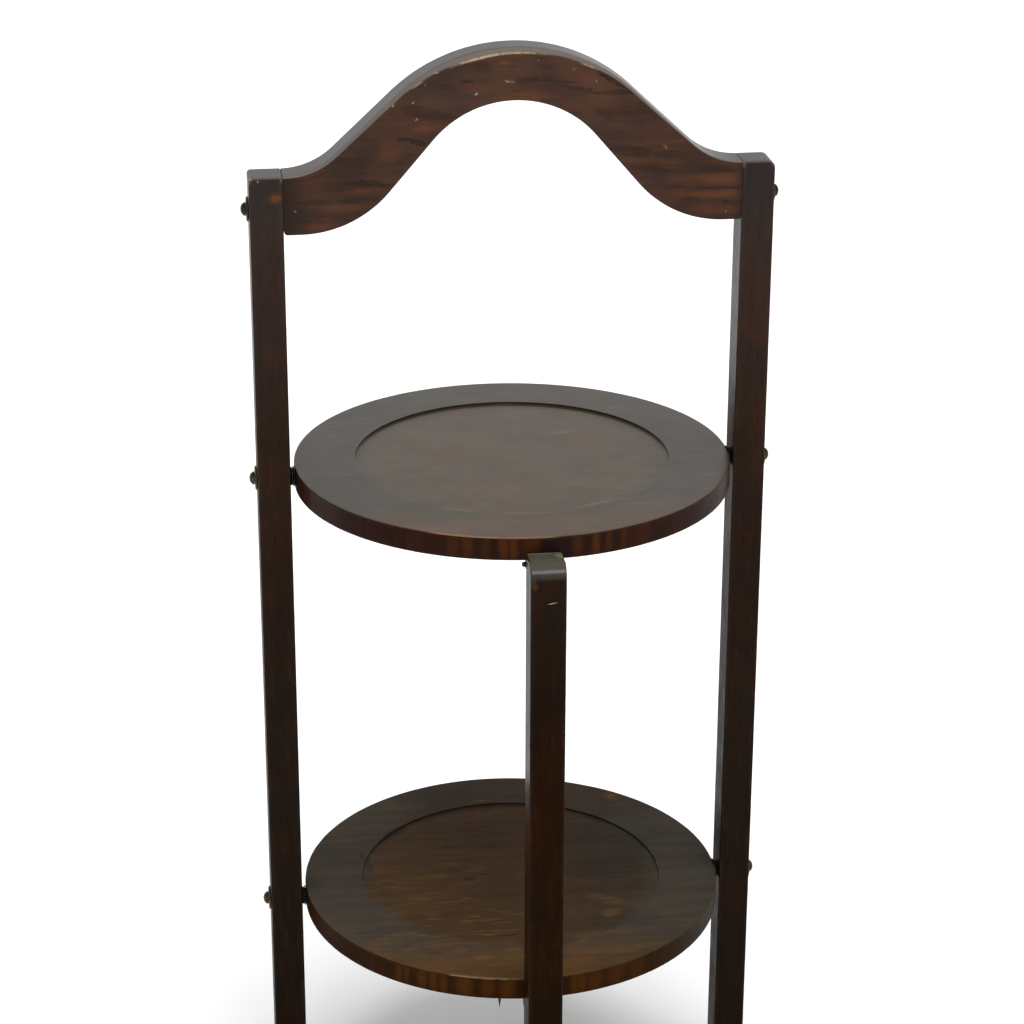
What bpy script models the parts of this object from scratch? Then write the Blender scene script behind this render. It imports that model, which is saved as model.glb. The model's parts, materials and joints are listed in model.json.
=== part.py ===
"""A folding cake stand in dark stained oak, standing open.

Two uprights and an arched handle make a frame. Two turned plates pivot between the uprights on round head
screws, and a shorter front leg is hinged under the front edge of each plate. Pushing the plates' front edges up
folds the stand flat: uprights, plates and front leg form a parallelogram.

Metres, +Z up. The origin lies on the floor at the middle of the footprint, +X is to the right and +Y to the back.
"""

import math

import bmesh
import bpy
from mathutils import Matrix, Vector

# Clearances
FIT_GAP = 0.0003  # between pieces that touch, and around a shank in its hole
OVERRUN = 0.001  # how far a cutter runs past the face that it opens

# Plates
PLATE_RADIUS = 0.125
PLATE_THICK = 0.013
PLATE_EDGE_ROUND = 0.0012
RECESS_RADIUS = 0.090
RECESS_DEPTH = 0.0013
RECESS_COVE = 0.0007
RECESS_LIP_EASE = 0.0003

# Uprights
UPRIGHT_WIDTH = 0.0185
UPRIGHT_DEPTH = 0.0200
UPRIGHT_CORNER_ROUND = 0.0032
PIVOT_GAP = 0.0027  # from a plate's rim to the upright beside it
ARRIS = 0.0007

# Heights, set by what has to clear when the plates stand on edge
FLOOR_CLEARANCE = 0.012  # under the folded lower plate
FOLDED_PLATE_GAP = 0.022  # between the two folded plates
HANDLE_CLEARANCE = 0.020  # from the folded upper plate to the handle's ends

# Handle rail
RAIL_END_HEIGHT = 0.033
RAIL_CREST_RISE = 0.0675  # from the uprights' tops to the crest
RAIL_CROWN_HEIGHT = 0.028
RAIL_SCREW_SHARE = 0.40  # of a rail end's height, from its lower edge to its screw
RAIL_TOE_FLAT = 0.0095  # straight stretch of the lower edge beside each upright
RAIL_SLOPE_SHARE = 0.80  # of the steepest slope that the double curve can have
UPPER_CROWN_SHARE = 0.65  # crown radius over the sum of crown and shoulder radii
LOWER_CROWN_SHARE = 0.48

# Front leg
LEG_WIDTH = 0.0195
LEG_DEPTH = 0.0185
LEG_OVERLAP = 0.0046  # how far it stands up beside the upper plate's rim
LEG_TOP_ROUND = 0.009

# Round head screws
SCREW_HEAD_RADIUS = 0.0039
SCREW_HEAD_HEIGHT = 0.0029
SCREW_SHANK_RADIUS = 0.0020
SCREW_LENGTH = 0.042
SCREW_POINT = 0.005
SLOT_WIDTH = 0.0009
SLOT_DEPTH = 0.0011

# Washers and spacers
WASHER_RADIUS = 0.0070
WASHER_THICK = 0.0010
INNER_WASHER_RADIUS = 0.0060
INNER_WASHER_THICK = 0.0006
SPACER_RADIUS = 0.0053

# Butt hinges
HINGE_LENGTH = 0.0190
HINGE_BARREL_RADIUS = 0.0028
HINGE_PIN_RADIUS = 0.0014
HINGE_PIN_REACH = 0.0020  # of the upper pin past each end of its barrel; the lower pin is flush
HINGE_LEAF_WIDTH = 0.0125
HINGE_LEAF_THICK = 0.0010
HINGE_SCREW_SPACING = 0.0110
HINGE_SCREW_HEAD_RADIUS = 0.0018
HINGE_SCREW_SHANK_RADIUS = 0.0010
HINGE_SCREW_LENGTH = 0.0085
HINGE_SCREW_SLOT = 0.0006
HINGE_SLOT_DEPTH = 0.0004

# Tack in the lower plate's underside
TACK_RADIUS = 0.0010
TACK_LENGTH = 0.0075
TACK_OFFSET = 0.0230  # to the left of the front leg's middle
TACK_INSET = 0.0030  # in from the rim

# Counts
PLATE_FACETS = 80
SCREW_FACETS = 16
WASHER_FACETS = 16
BARREL_FACETS = 18
SMALL_FACETS = 12
CROWN_STEPS = 13
SHOULDER_STEPS = 8
ROUND_STEPS = 2
ARRIS_STEPS = 2
KNUCKLES = 5

# Places that follow from the sizes
INNER_FACE_X = PLATE_RADIUS + PIVOT_GAP
OUTER_FACE_X = INNER_FACE_X + UPRIGHT_WIDTH
PIVOT_Y = (FIT_GAP + LEG_DEPTH) / 2
LEG_BACK_Y = PIVOT_Y - PLATE_RADIUS - FIT_GAP
LOWER_PIVOT_Z = FLOOR_CLEARANCE + PLATE_RADIUS
UPPER_PIVOT_Z = LOWER_PIVOT_Z + 2 * PLATE_RADIUS + FOLDED_PLATE_GAP
RAIL_BOTTOM_Z = UPPER_PIVOT_Z + PLATE_RADIUS + HANDLE_CLEARANCE
UPRIGHT_TOP_Z = RAIL_BOTTOM_Z + RAIL_END_HEIGHT
RAIL_SCREW_Z = RAIL_BOTTOM_Z + RAIL_SCREW_SHARE * RAIL_END_HEIGHT
LEG_TOP_Z = UPPER_PIVOT_Z - PLATE_THICK / 2 + LEG_OVERLAP
SHANK_HOLE_RADIUS = SCREW_SHANK_RADIUS + FIT_GAP
SCREW_SEAT_X = OUTER_FACE_X + FIT_GAP + WASHER_THICK + FIT_GAP
SCREW_TIP_X = SCREW_SEAT_X - SCREW_LENGTH
HINGE_AXIS_Y = LEG_BACK_Y + FIT_GAP + HINGE_BARREL_RADIUS
HINGE_AXIS_DROP = PLATE_THICK / 2 + FIT_GAP + HINGE_BARREL_RADIUS
HINGE_SCREW_PLACE = (HINGE_LEAF_WIDTH + HINGE_BARREL_RADIUS) / 2
HINGE_PILOT_RADIUS = HINGE_SCREW_SHANK_RADIUS + FIT_GAP
HINGE_SCREW_HEAD_HEIGHT = HINGE_LEAF_THICK - FIT_GAP

TIERS = {"upper": UPPER_PIVOT_Z, "lower": LOWER_PIVOT_Z}
SIDES = {"left": -1, "right": 1}


def clear_scene():
    for obj in list(bpy.data.objects):
        bpy.data.objects.remove(obj)


def material(name, colour, roughness, metallic=0.0):
    made = bpy.data.materials.new(name)
    made.use_nodes = True
    shader = made.node_tree.nodes["Principled BSDF"]
    shader.inputs["Base Color"].default_value = (*colour, 1.0)
    shader.inputs["Roughness"].default_value = roughness
    shader.inputs["Metallic"].default_value = metallic
    return made


def oak_material(name, colour):
    return material(name, colour, 0.38)


def brass_material():
    return material("aged_brass", (0.20, 0.14, 0.07), 0.42, 1.0)


def iron_material():
    return material("dark_iron", (0.05, 0.045, 0.04), 0.50, 1.0)


def add_object(name, mesh, surface, parent=None, place=Matrix.Identity(4)):
    """Links a new object whose world matrix is place, whatever its parent."""
    obj = bpy.data.objects.new(name, mesh)
    bpy.context.scene.collection.objects.link(obj)
    mesh.materials.append(surface)
    obj.parent = parent
    if parent:
        obj.matrix_parent_inverse = parent.matrix_world.inverted()
    obj.matrix_world = place
    return obj


def add_empty(name, location, parent=None):
    """A joint's axis runs along X through this empty."""
    empty = bpy.data.objects.new(name, None)
    bpy.context.scene.collection.objects.link(empty)
    empty.parent = parent
    if parent:
        empty.matrix_parent_inverse = parent.matrix_world.inverted()
    empty.matrix_world = Matrix.Translation(location)
    bpy.context.view_layer.update()
    return empty


def finished_mesh(name, bm):
    bmesh.ops.recalc_face_normals(bm, faces=bm.faces)
    mesh = bpy.data.meshes.new(name)
    bm.to_mesh(mesh)
    bm.free()
    return mesh


def extruded_mesh(name, outline, near, far, axis="Y"):
    """A closed outline carried from near to far along an axis. Its points are (x, z) for Y and (y, z) for X."""
    bm = bmesh.new()
    if axis == "Y":
        corners = [Vector((x, near, z)) for x, z in outline]
        travel = Vector((0, far - near, 0))
    else:
        corners = [Vector((near, y, z)) for y, z in outline]
        travel = Vector((far - near, 0, 0))
    face = bm.faces.new([bm.verts.new(corner) for corner in corners])
    grown = bmesh.ops.extrude_face_region(bm, geom=[face])["geom"]
    moved = [part for part in grown if isinstance(part, bmesh.types.BMVert)]
    bmesh.ops.translate(bm, verts=moved, vec=travel)
    return finished_mesh(name, bm)


def add_turned(bm, profile, facets, place=Matrix.Identity(4)):
    """Adds a profile of (radius, height) points turned about Z, then placed. Points at radius zero close it."""
    rings = []
    for radius, height in profile:
        if radius == 0:
            rings.append([bm.verts.new(place @ Vector((0, 0, height)))] * facets)
            continue
        turns = [math.tau * step / facets for step in range(facets)]
        around = [Vector((radius * math.cos(t), radius * math.sin(t), height)) for t in turns]
        rings.append([bm.verts.new(place @ point) for point in around])
    closed = profile[0][0] != 0
    pairs = zip(rings, rings[1:] + rings[:1]) if closed else zip(rings, rings[1:])
    for first, second in pairs:
        for step in range(facets):
            after = (step + 1) % facets
            corners = (first[step], first[after], second[after], second[step])
            bm.faces.new(list(dict.fromkeys(corners)))


def turned_mesh(name, profile, facets):
    bm = bmesh.new()
    add_turned(bm, profile, facets)
    return finished_mesh(name, bm)


def smooth(mesh, sharp_degrees=30):
    mesh.shade_smooth()
    mesh.set_sharp_from_angle(angle=math.radians(sharp_degrees))
    return mesh


def arc(centre, radius, start_degrees, end_degrees, steps):
    """Points along an arc, both ends included."""
    found = []
    for step in range(steps + 1):
        turn = math.radians(start_degrees + (end_degrees - start_degrees) * step / steps)
        found.append((centre[0] + radius * math.cos(turn), centre[1] + radius * math.sin(turn)))
    return found


def facing(direction, location):
    """The matrix that turns local +Z to a direction and moves the origin to a location."""
    turn = Vector(direction).to_track_quat("Z", "Y").to_matrix().to_4x4()
    return Matrix.Translation(location) @ turn


def bevel_edges(obj, width, steps, degrees=40):
    rounding = obj.modifiers.new("arris", "BEVEL")
    rounding.width = width
    rounding.segments = steps
    rounding.limit_method = "ANGLE"
    rounding.angle_limit = math.radians(degrees)


def combine(obj, operation, mesh, place=Matrix.Identity(4)):
    """Cuts a hidden mesh from an object, or joins it on."""
    tool = add_object(f"{obj.name}.{mesh.name}", mesh, obj.data.materials[0], obj, place)
    tool.hide_render = True
    tool.display_type = "WIRE"
    step = obj.modifiers.new(mesh.name, "BOOLEAN")
    step.operation = operation
    step.solver = "EXACT"
    step.object = tool


def bore(obj, holes, facets=SCREW_FACETS):
    """Cuts holes given as (radius, mouth, inward direction, depth), each from a little outside its mouth."""
    bm = bmesh.new()
    for radius, mouth, inward, depth in holes:
        profile = [(0, -depth), (radius, -depth), (radius, OVERRUN), (0, OVERRUN)]
        add_turned(bm, profile, facets, facing(-Vector(inward), mouth))
    combine(obj, "DIFFERENCE", finished_mesh("bores", bm))


def plate_profile():
    """Half the plate's section: sunk centre with a cove, flat border, eased rim."""
    top, bottom = PLATE_THICK / 2, -PLATE_THICK / 2
    floor = top - RECESS_DEPTH
    inner_rim = PLATE_RADIUS - PLATE_EDGE_ROUND
    cove = arc((RECESS_RADIUS - RECESS_COVE, floor + RECESS_COVE), RECESS_COVE, -90, 0, ROUND_STEPS)
    lip = [(RECESS_RADIUS, top - RECESS_LIP_EASE), (RECESS_RADIUS + RECESS_LIP_EASE, top)]
    upper_edge = arc((inner_rim, top - PLATE_EDGE_ROUND), PLATE_EDGE_ROUND, 90, 0, ROUND_STEPS)
    lower_edge = arc((inner_rim, bottom + PLATE_EDGE_ROUND), PLATE_EDGE_ROUND, 0, -90, ROUND_STEPS)
    return [(0, floor), *cove, *lip, *upper_edge, *lower_edge, (0, bottom)]


def build_plate(tier, surface, pivot):
    """A turned plate with a screw bore in each side and pilot holes for its hinge leaf."""
    height = TIERS[tier]
    mesh = smooth(turned_mesh(f"{tier}_plate", plate_profile(), PLATE_FACETS))
    plate = add_object(f"{tier}_plate", mesh, surface, pivot, Matrix.Translation((0, PIVOT_Y, height)))
    depth = PLATE_RADIUS - SCREW_TIP_X + FIT_GAP
    holes = []
    for sign in SIDES.values():
        holes.append((SHANK_HOLE_RADIUS, (sign * PLATE_RADIUS, PIVOT_Y, height), (-sign, 0, 0), depth))
        pilot = (sign * HINGE_SCREW_SPACING / 2, HINGE_AXIS_Y + HINGE_SCREW_PLACE, height - PLATE_THICK / 2)
        holes.append((HINGE_PILOT_RADIUS, pilot, (0, 0, 1), HINGE_SCREW_LENGTH))
    bore(plate, holes)
    return plate


def build_upright(side, surface):
    """A square post with a rounded outer top corner, bored for the handle's screw and the two pivots."""
    sign = SIDES[side]
    inner, outer = sign * INNER_FACE_X, sign * OUTER_FACE_X
    corner_x = sign * (OUTER_FACE_X - UPRIGHT_CORNER_ROUND)
    corner_z = UPRIGHT_TOP_Z - UPRIGHT_CORNER_ROUND
    outer_turn = 0 if sign > 0 else 180
    corner = arc((corner_x, corner_z), UPRIGHT_CORNER_ROUND, outer_turn, 90, 2 * ROUND_STEPS)
    outline = [(inner, 0), (outer, 0), *corner, (inner, UPRIGHT_TOP_Z)]
    near, far = PIVOT_Y - UPRIGHT_DEPTH / 2, PIVOT_Y + UPRIGHT_DEPTH / 2
    post = add_object(f"{side}_upright", extruded_mesh(f"{side}_upright", outline, near, far), surface)
    bevel_edges(post, ARRIS, ARRIS_STEPS)
    inward, depth = (-sign, 0, 0), UPRIGHT_WIDTH + OVERRUN
    heights = (RAIL_SCREW_Z, UPPER_PIVOT_Z, LOWER_PIVOT_Z)
    bore(post, [(SHANK_HOLE_RADIUS, (outer, PIVOT_Y, height), inward, depth) for height in heights])
    return post


def double_curve(run, top, bottom, crown_share):
    """Right half of an ogee from its crest (0, top) out to (run, bottom), level at both ends.

    A crown arc and a shoulder arc meet a straight slope. For a chord at some angle, twice that angle is the
    steepest slope that the two arcs can share, where the straight stretch vanishes.
    """
    drop = top - bottom
    slope = RAIL_SLOPE_SHARE * 2 * math.atan2(drop, run)
    radii = (run * math.sin(slope) - drop * math.cos(slope)) / (1 - math.cos(slope))
    crown = crown_share * radii
    shoulder = radii - crown
    level = 90 - math.degrees(slope)
    upper = arc((0, top - crown), crown, 90, level, CROWN_STEPS)
    lower = arc((run, bottom + shoulder), shoulder, 180 + level, 270, SHOULDER_STEPS)
    return upper + lower


def rail_outline():
    """The handle's face: an upper and a lower double curve, mirrored about the middle."""
    end = INNER_FACE_X - FIT_GAP
    crest = UPRIGHT_TOP_Z + RAIL_CREST_RISE
    upper = double_curve(end, crest, UPRIGHT_TOP_Z, UPPER_CROWN_SHARE)
    lower = double_curve(end - RAIL_TOE_FLAT, crest - RAIL_CROWN_HEIGHT, RAIL_BOTTOM_Z, LOWER_CROWN_SHARE)
    lower.append((end, RAIL_BOTTOM_Z))
    right = upper + lower[::-1]
    left = [(-x, z) for x, z in reversed(right)]
    return right + left[1:-1]


def build_handle(surface):
    """The arched rail, cut from a board and bored at both ends for its screws."""
    near, far = PIVOT_Y - UPRIGHT_DEPTH / 2, PIVOT_Y + UPRIGHT_DEPTH / 2
    rail = add_object("handle_rail", extruded_mesh("handle_rail", rail_outline(), near, far), surface)
    bevel_edges(rail, ARRIS, ARRIS_STEPS)
    end = INNER_FACE_X - FIT_GAP
    depth = end - SCREW_TIP_X + FIT_GAP
    ends = [((sign * end, PIVOT_Y, RAIL_SCREW_Z), (-sign, 0, 0)) for sign in SIDES.values()]
    bore(rail, [(SHANK_HOLE_RADIUS, mouth, inward, depth) for mouth, inward in ends])
    return rail


def build_front_leg(surface, pivot):
    """The short leg: a square post, its top eased over at the front, with pilot holes behind."""
    front = LEG_BACK_Y - LEG_DEPTH
    easing = arc((front + LEG_TOP_ROUND, LEG_TOP_Z - LEG_TOP_ROUND), LEG_TOP_ROUND, 90, 180, 2 * ROUND_STEPS)
    outline = [(LEG_BACK_Y, 0), (LEG_BACK_Y, LEG_TOP_Z), *easing, (front, 0)]
    mesh = extruded_mesh("front_leg", outline, -LEG_WIDTH / 2, LEG_WIDTH / 2, axis="X")
    leg = add_object("front_leg", mesh, surface, pivot)
    bevel_edges(leg, ARRIS, ARRIS_STEPS)
    holes = []
    for height in TIERS.values():
        for sign in SIDES.values():
            place = height - HINGE_AXIS_DROP - HINGE_SCREW_PLACE
            mouth = (sign * HINGE_SCREW_SPACING / 2, LEG_BACK_Y, place)
            holes.append((HINGE_PILOT_RADIUS, mouth, (0, -1, 0), HINGE_SCREW_LENGTH))
    bore(leg, holes, SMALL_FACETS)
    return leg


def slot_cutter(width, depth, length, head_top):
    """A bar across a screw's head, its floor one slot depth under the head's top."""
    half, reach = width / 2, length / 2
    outline = [(-half, head_top - depth), (half, head_top - depth), (half, head_top + OVERRUN)]
    outline.append((-half, head_top + OVERRUN))
    return extruded_mesh("slot", outline, -reach, reach)


def round_head_screw(name, surface, side, height, parent):
    """A slotted dome head on a plain shank with a turned point, driven in from the outside."""
    sign = SIDES[side]
    dome_share = SCREW_HEAD_HEIGHT / SCREW_HEAD_RADIUS
    dome = [(x, z * dome_share) for x, z in arc((0, 0), SCREW_HEAD_RADIUS, 0, 90, 2 * ROUND_STEPS)]
    dome[-1] = (0, SCREW_HEAD_HEIGHT)
    shank = [(0, -SCREW_LENGTH), (SCREW_SHANK_RADIUS, SCREW_POINT - SCREW_LENGTH), (SCREW_SHANK_RADIUS, 0)]
    mesh = smooth(turned_mesh(name, shank + dome, SCREW_FACETS))
    place = facing((sign, 0, 0), (sign * SCREW_SEAT_X, PIVOT_Y, height))
    screw = add_object(name, mesh, surface, parent, place)
    across = 2 * SCREW_HEAD_RADIUS + 2 * OVERRUN
    combine(screw, "DIFFERENCE", slot_cutter(SLOT_WIDTH, SLOT_DEPTH, across, SCREW_HEAD_HEIGHT), place)
    return screw


def ring(name, surface, parent, sign, face_x, height, radius, thick):
    """A washer or spacer on a screw's shank, its near face at face_x and its thickness outwards."""
    ease = thick / 2
    profile = [(SHANK_HOLE_RADIUS, thick), (SHANK_HOLE_RADIUS, 0), (radius, 0)]
    profile += [(radius, thick - ease), (radius - ease, thick)]
    mesh = smooth(turned_mesh(name, profile, WASHER_FACETS))
    return add_object(name, mesh, surface, parent, facing((sign, 0, 0), (sign * face_x, PIVOT_Y, height)))


def build_handle_fixings(surface):
    for side, sign in SIDES.items():
        round_head_screw(f"handle_screw_{side}", surface, side, RAIL_SCREW_Z, None)
        face = OUTER_FACE_X + FIT_GAP
        ring(f"handle_washer_{side}", surface, None, sign, face, RAIL_SCREW_Z, WASHER_RADIUS, WASHER_THICK)


def build_pivots(tier, brass, iron, pivot):
    """Per side, from outside in: screw, washer, the upright, a spacer, a thin washer and the plate's rim."""
    height = TIERS[tier]
    washer_face = PLATE_RADIUS + FIT_GAP
    spacer_face = washer_face + INNER_WASHER_THICK + FIT_GAP
    spacer_thick = INNER_FACE_X - FIT_GAP - spacer_face
    for side, sign in SIDES.items():
        round_head_screw(f"{tier}_pivot_screw_{side}", brass, side, height, pivot)
        name = f"{tier}_outer_washer_{side}"
        ring(name, brass, None, sign, OUTER_FACE_X + FIT_GAP, height, WASHER_RADIUS, WASHER_THICK)
        ring(f"{tier}_spacer_{side}", iron, None, sign, spacer_face, height, SPACER_RADIUS, spacer_thick)
        name = f"{tier}_inner_washer_{side}"
        ring(name, iron, pivot, sign, washer_face, height, INNER_WASHER_RADIUS, INNER_WASHER_THICK)


def curl_outline():
    """A knuckle's section, the leaf rolled round the pin: (distance from the pin, height over it)."""
    outer, wall = HINGE_BARREL_RADIUS, HINGE_LEAF_THICK
    tail = outer + 2 * FIT_GAP + wall
    underside = outer - wall
    meeting = math.degrees(math.asin(underside / outer))
    roll = arc((0, 0), outer, 90, 360 + meeting, BARREL_FACETS)
    return [(tail, outer), *roll, (tail, underside)]


def leaf_mesh(name):
    """The flat of a hinge leaf, clear of the barrel: x along the pin, y away from it, z towards the wood."""
    start = HINGE_BARREL_RADIUS + 2 * FIT_GAP
    low, high = HINGE_BARREL_RADIUS - HINGE_LEAF_THICK, HINGE_BARREL_RADIUS
    section = [(start, low), (HINGE_LEAF_WIDTH, low), (HINGE_LEAF_WIDTH, high), (start, high)]
    return extruded_mesh(name, section, -HINGE_LENGTH / 2, HINGE_LENGTH / 2, axis="X")


def build_leaf(name, surface, parent, place, first_knuckle):
    """A hinge leaf with every second knuckle of the barrel, a pin bore and two countersunk holes."""
    leaf = add_object(name, leaf_mesh(name), surface, parent, place)
    pitch = HINGE_LENGTH / KNUCKLES
    for number in range(first_knuckle, KNUCKLES, 2):
        low = -HINGE_LENGTH / 2 + number * pitch
        trimmed_low = low + (FIT_GAP / 2 if number else 0)
        trimmed_high = low + pitch - (FIT_GAP / 2 if number < KNUCKLES - 1 else 0)
        curl = extruded_mesh("knuckle", curl_outline(), trimmed_low, trimmed_high, axis="X")
        combine(leaf, "UNION", curl, place)
    reach = HINGE_LENGTH / 2 + OVERRUN
    hole = HINGE_PIN_RADIUS + FIT_GAP
    pin_bore = turned_mesh("pin_bore", [(0, -reach), (hole, -reach), (hole, reach), (0, reach)], BARREL_FACETS)
    combine(leaf, "DIFFERENCE", pin_bore, place @ facing((1, 0, 0), (0, 0, 0)))
    for sign in SIDES.values():
        combine(leaf, "DIFFERENCE", countersink_mesh(), place @ screw_seat(sign))
    return leaf


def screw_seat(sign):
    """Where a screw's head is flush with a leaf, in the leaf's own axes, its top away from the wood."""
    seat = (sign * HINGE_SCREW_SPACING / 2, HINGE_SCREW_PLACE, HINGE_BARREL_RADIUS - HINGE_LEAF_THICK)
    return facing((0, 0, -1), seat)


def countersink_mesh():
    """The cutter of a countersunk hole: its mouth at height zero, opening upwards, the wood below."""
    mouth = HINGE_SCREW_HEAD_RADIUS + FIT_GAP
    throat = HINGE_PILOT_RADIUS
    floor = -HINGE_LEAF_THICK - OVERRUN
    profile = [(0, floor), (throat, floor), (throat, -HINGE_SCREW_HEAD_HEIGHT), (mouth, 0)]
    profile += [(mouth, OVERRUN), (0, OVERRUN)]
    return turned_mesh("countersink", profile, SMALL_FACETS)


def countersunk_screw(name, surface, parent, place):
    """A slotted flat head screw, flush with the leaf: head's top at height zero, point below."""
    head, shank = HINGE_SCREW_HEAD_RADIUS, HINGE_SCREW_SHANK_RADIUS
    tip = FIT_GAP - HINGE_SCREW_LENGTH
    profile = [(0, tip), (shank, tip + 2 * shank), (shank, -HINGE_SCREW_HEAD_HEIGHT), (head, 0), (0, 0)]
    screw = add_object(name, smooth(turned_mesh(name, profile, SMALL_FACETS)), surface, parent, place)
    across = 2 * head + 2 * OVERRUN
    combine(screw, "DIFFERENCE", slot_cutter(HINGE_SCREW_SLOT, HINGE_SLOT_DEPTH, across, 0), place)
    return screw


def build_hinge(tier, surface, plate_pivot, leg_pivot):
    """A butt hinge open at a right angle: one leaf under the plate, one down the back of the front leg."""
    axis = Matrix.Translation((0, HINGE_AXIS_Y, TIERS[tier] - HINGE_AXIS_DROP))
    under_plate = axis
    down_leg = axis @ Matrix.Rotation(math.radians(90), 4, "X") @ Matrix.Rotation(math.pi, 4, "Z")
    build_leaf(f"{tier}_hinge_plate_leaf", surface, plate_pivot, under_plate, 0)
    build_leaf(f"{tier}_hinge_leg_leaf", surface, leg_pivot, down_leg, 1)
    reach = HINGE_LENGTH / 2 + (HINGE_PIN_REACH if tier == "upper" else 0)
    ease = HINGE_PIN_RADIUS / 2
    profile = [(0, -reach), (ease, -reach), (HINGE_PIN_RADIUS, ease - reach)]
    profile += [(HINGE_PIN_RADIUS, reach - ease), (ease, reach), (0, reach)]
    pin = smooth(turned_mesh(f"{tier}_hinge_pin", profile, SMALL_FACETS))
    add_object(f"{tier}_hinge_pin", pin, surface, plate_pivot, axis @ facing((1, 0, 0), (0, 0, 0)))
    for side, sign in SIDES.items():
        name = f"{tier}_plate_leaf_screw_{side}"
        countersunk_screw(name, surface, plate_pivot, under_plate @ screw_seat(sign))
        name = f"{tier}_leg_leaf_screw_{side}"
        countersunk_screw(name, surface, leg_pivot, down_leg @ screw_seat(-sign))


def build_tack(surface, pivot):
    """A tapered tack in the lower plate's underside, left of the front leg, its point down."""
    top = LOWER_PIVOT_Z - PLATE_THICK / 2 - FIT_GAP
    from_centre = math.sqrt((PLATE_RADIUS - TACK_INSET) ** 2 - TACK_OFFSET**2)
    profile = [(0, -TACK_LENGTH), (TACK_RADIUS, 0), (0, 0)]
    mesh = smooth(turned_mesh("lower_plate_tack", profile, SMALL_FACETS))
    place = Matrix.Translation((-TACK_OFFSET, PIVOT_Y - from_centre, top))
    return add_object("lower_plate_tack", mesh, surface, pivot, place)


def build_stand():
    clear_scene()
    post_oak = oak_material("post_oak", (0.022, 0.013, 0.009))
    rail_oak = oak_material("rail_oak", (0.045, 0.020, 0.011))
    upper_oak = oak_material("upper_plate_oak", (0.040, 0.022, 0.013))
    lower_oak = oak_material("lower_plate_oak", (0.050, 0.024, 0.011))
    brass, iron = brass_material(), iron_material()

    pivots = {tier: add_empty(f"{tier}_plate_pivot", (0, PIVOT_Y, height)) for tier, height in TIERS.items()}
    leg_place = (0, HINGE_AXIS_Y, UPPER_PIVOT_Z - HINGE_AXIS_DROP)
    leg_pivot = add_empty("front_leg_pivot", leg_place, pivots["upper"])

    for side in SIDES:
        build_upright(side, post_oak)
    build_handle(rail_oak)
    build_handle_fixings(brass)
    build_plate("upper", upper_oak, pivots["upper"])
    build_plate("lower", lower_oak, pivots["lower"])
    build_front_leg(post_oak, leg_pivot)
    for tier in TIERS:
        build_pivots(tier, brass, iron, pivots[tier])
        build_hinge(tier, iron, pivots[tier], leg_pivot)
    build_tack(iron, pivots["lower"])


build_stand()
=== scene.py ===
"""Looks for the folding cake stand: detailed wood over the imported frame, with finishes, light and camera.

Metres, +Z up, in the CAD frame: the origin is on the floor, +X is to the right and +Y to the back. Only the
marks on the wood are placed in millimetres, from a point on their piece.
"""
import json
import math

import bmesh
import bpy
import numpy as np
from mathutils import Matrix, Vector, noise


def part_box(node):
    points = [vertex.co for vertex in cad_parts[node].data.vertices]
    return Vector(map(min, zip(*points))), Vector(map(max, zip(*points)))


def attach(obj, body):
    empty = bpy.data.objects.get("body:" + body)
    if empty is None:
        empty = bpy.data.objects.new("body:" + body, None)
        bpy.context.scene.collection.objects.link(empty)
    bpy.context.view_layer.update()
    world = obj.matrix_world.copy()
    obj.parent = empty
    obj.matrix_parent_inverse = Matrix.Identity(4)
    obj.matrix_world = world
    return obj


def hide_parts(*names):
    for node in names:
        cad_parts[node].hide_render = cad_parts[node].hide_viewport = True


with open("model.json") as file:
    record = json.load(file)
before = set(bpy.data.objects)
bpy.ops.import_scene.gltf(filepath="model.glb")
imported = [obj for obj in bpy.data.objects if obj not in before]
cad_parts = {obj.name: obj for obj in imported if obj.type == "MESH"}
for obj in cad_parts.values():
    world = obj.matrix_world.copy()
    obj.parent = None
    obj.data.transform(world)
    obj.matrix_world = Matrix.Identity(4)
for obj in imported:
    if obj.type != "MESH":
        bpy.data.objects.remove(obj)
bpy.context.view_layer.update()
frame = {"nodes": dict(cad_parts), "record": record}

MM = 0.001

# Shapes that a node's box doesn't give
ARRIS = 0.0007
WEAR_WAVES = ((0.35, 0.030), (0.25, 0.005))  # (share, reach along the piece) of an arris's unevenness
END_WEAR_REACH = 0.0012  # how far from a post's end it looks worn
LEFT_ROUNDS = {"left": 0.0022}  # of the uprights' outer top corners
RIGHT_ROUNDS = {"right": 0.0042}
LEG_ROUNDS = {"front": 0.009, "left": 0.0014, "right": 0.0012}  # of the leg's top
RAIL_CROWN_HEIGHT = 0.029
RAIL_TOE_FLAT = 0.0095
RAIL_UPPER = (0.70, 0.77)  # crown radius over both radii, slope over the steepest that the curve can have
RAIL_LOWER = (0.48, 0.79)
RAIL_END_EASE = 0.0002
RAIL_JOINT_FILL = 0.0002  # of the solids' gap to each upright, as a real butt joint is nearly closed
RAIL_TOE_ROUNDS = {"left": 0.0022, "right": 0.0008}  # of the underside at each end
GRIP_ROUND = 0.0045  # of the upper front edge at the crown, which hands have worn round
GRIP_MIDDLE = -0.020  # where along the handle that rounding is largest
GRIP_REACH = 0.115  # how far from there the edge is back to its ordinary rounding
GRIP_FALL = 0.7  # the power at which the rounding falls off
GRIP_WAVE = (0.15, 0.02)  # (share, reach) of that rounding's unevenness
RAIL_SEED, GRIP_SEED = 31, 47
RECESS_RADIUS = 0.090
RECESS_DEPTH = 0.0013
RECESS_COVE = 0.0007
RECESS_LIP_EASE = 0.0003
PLATE_EDGE_ROUND = 0.0009
RIM_UNEVENNESS = 0.00014
RIM_WAVES = 12  # how quickly that changes round the rim

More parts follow.
